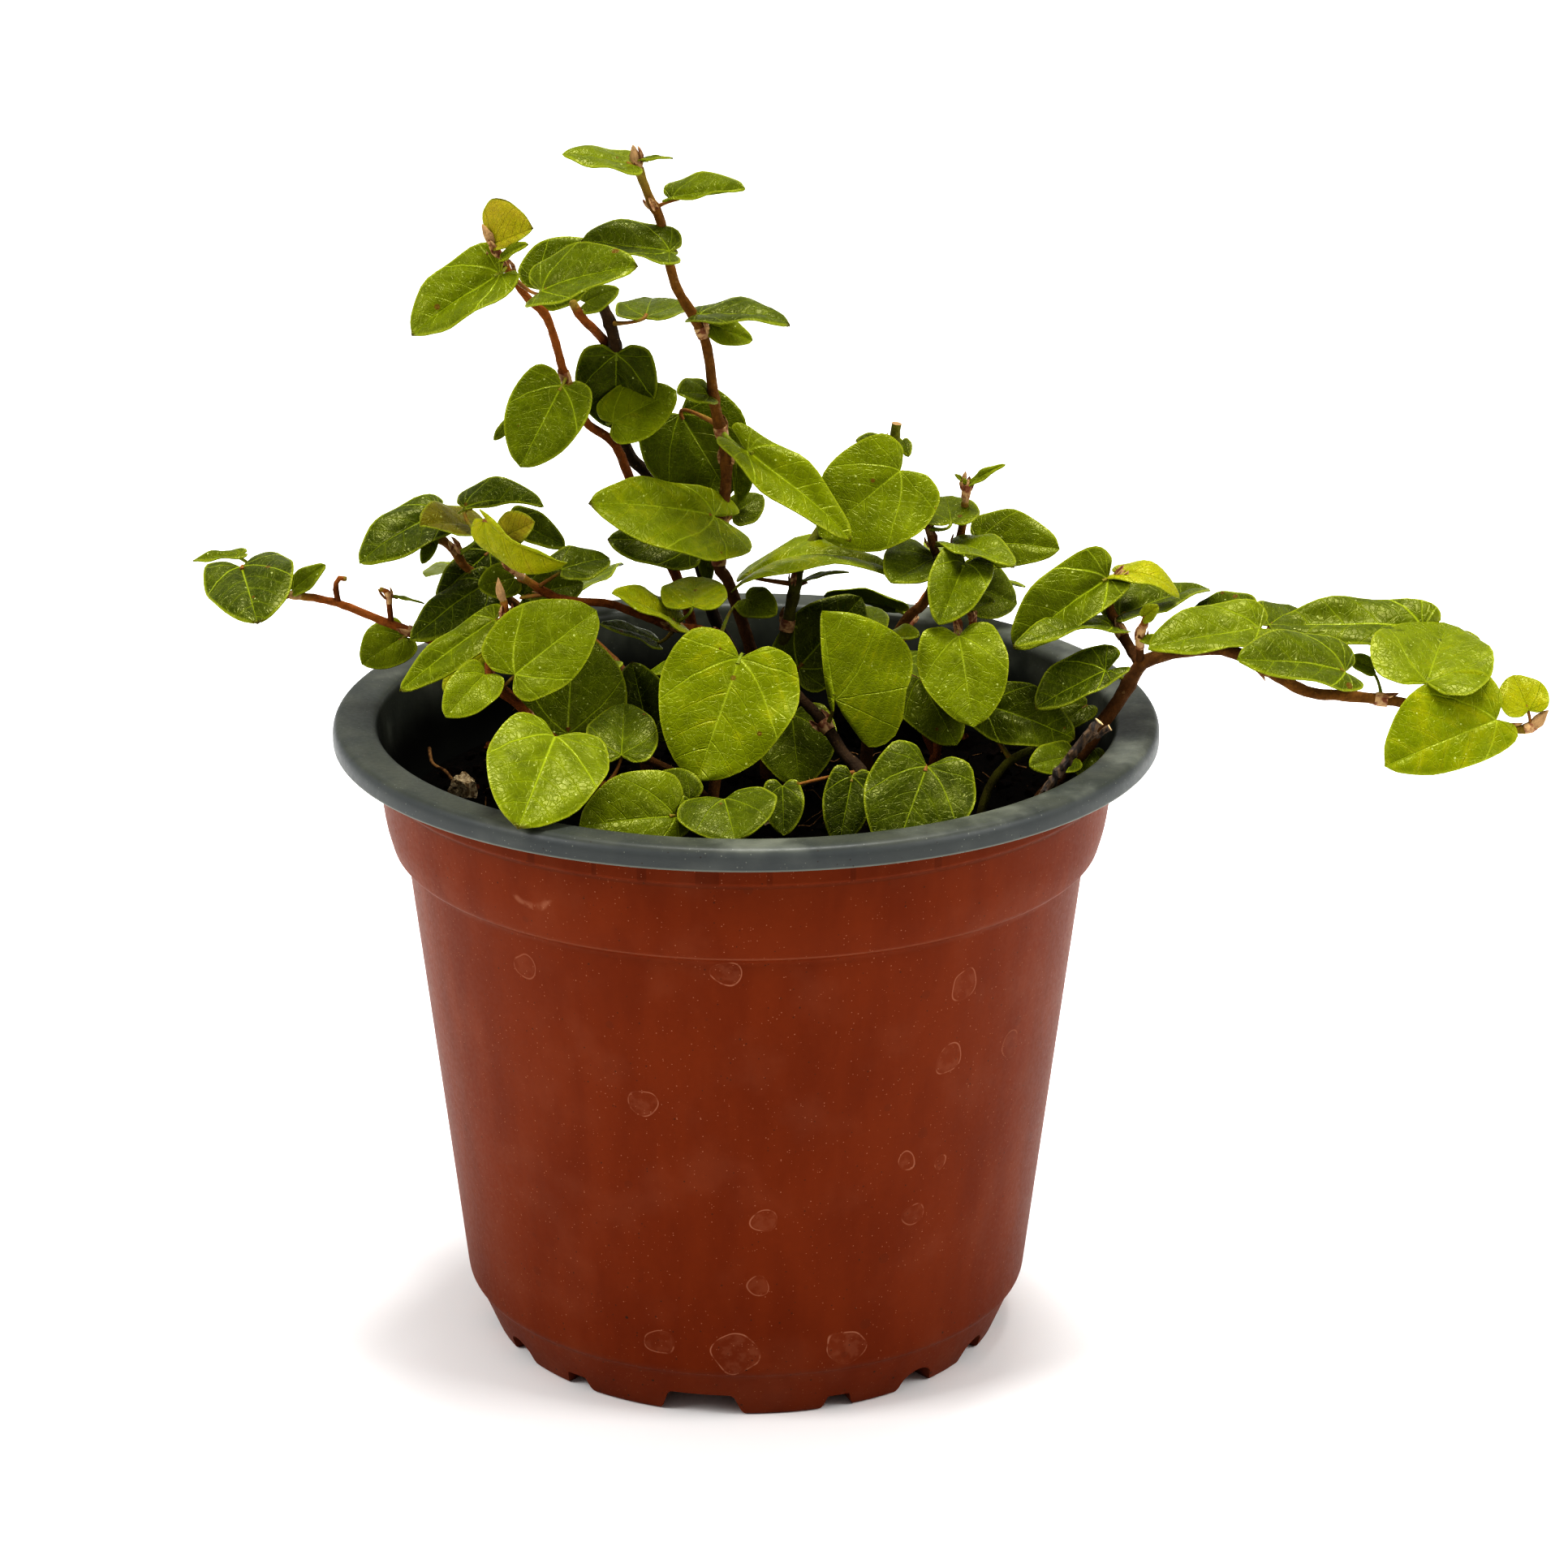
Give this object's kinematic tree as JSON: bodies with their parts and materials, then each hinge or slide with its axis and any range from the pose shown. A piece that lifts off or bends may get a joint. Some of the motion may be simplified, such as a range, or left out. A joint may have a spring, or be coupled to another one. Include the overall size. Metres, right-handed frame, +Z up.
{
  "type": "potted creeping fig",
  "caption": "Young creeping fig with small waved heart leaves on thin upright and trailing stems, rooted in soil in a tapered plastic nursery pot with a banded rim.",
  "frame": {"origin": "on the pot's axis at the floor, in the middle of the pad under the pot's base", "axes": "+Z up; -Y to the front, where the picture was taken from; +X to the right, the way the long trailing stem grows"},
  "size_m": [0.1955, 0.1282, 0.1775],
  "materials": {
    "pot": "thermoformed two-layer plastic, terracotta outside and dark grey inside, with dried water marks",
    "soil": "loose near-black potting mix with fibres, a few pale grains and bits of bark",
    "dry_twig": "dry brown bark with pale cut ends",
    "leaf": "living leaf blades, yellow-green to mid green with paler veins and margin, on reddish brown stems"
  },
  "bodies": {
    "root": {"pot": "pot", "soil": "soil", "dry_twig": "dry_twig", "stem_tall": "leaf", "stem_left_tall": "leaf", "stem_woody": "leaf", "stem_left_low": "leaf", "stem_far_left": "leaf", "stem_left_back": "leaf", "stem_front_left": "leaf", "stem_centre": "leaf", "stem_front": "leaf", "stem_middle": "leaf", "stem_right": "leaf", "stem_right_short": "leaf", "stem_right_low": "leaf", "stem_right_long": "leaf", "stem_back_left": "leaf", "stem_back_right": "leaf"}
  },
  "joints": []
}
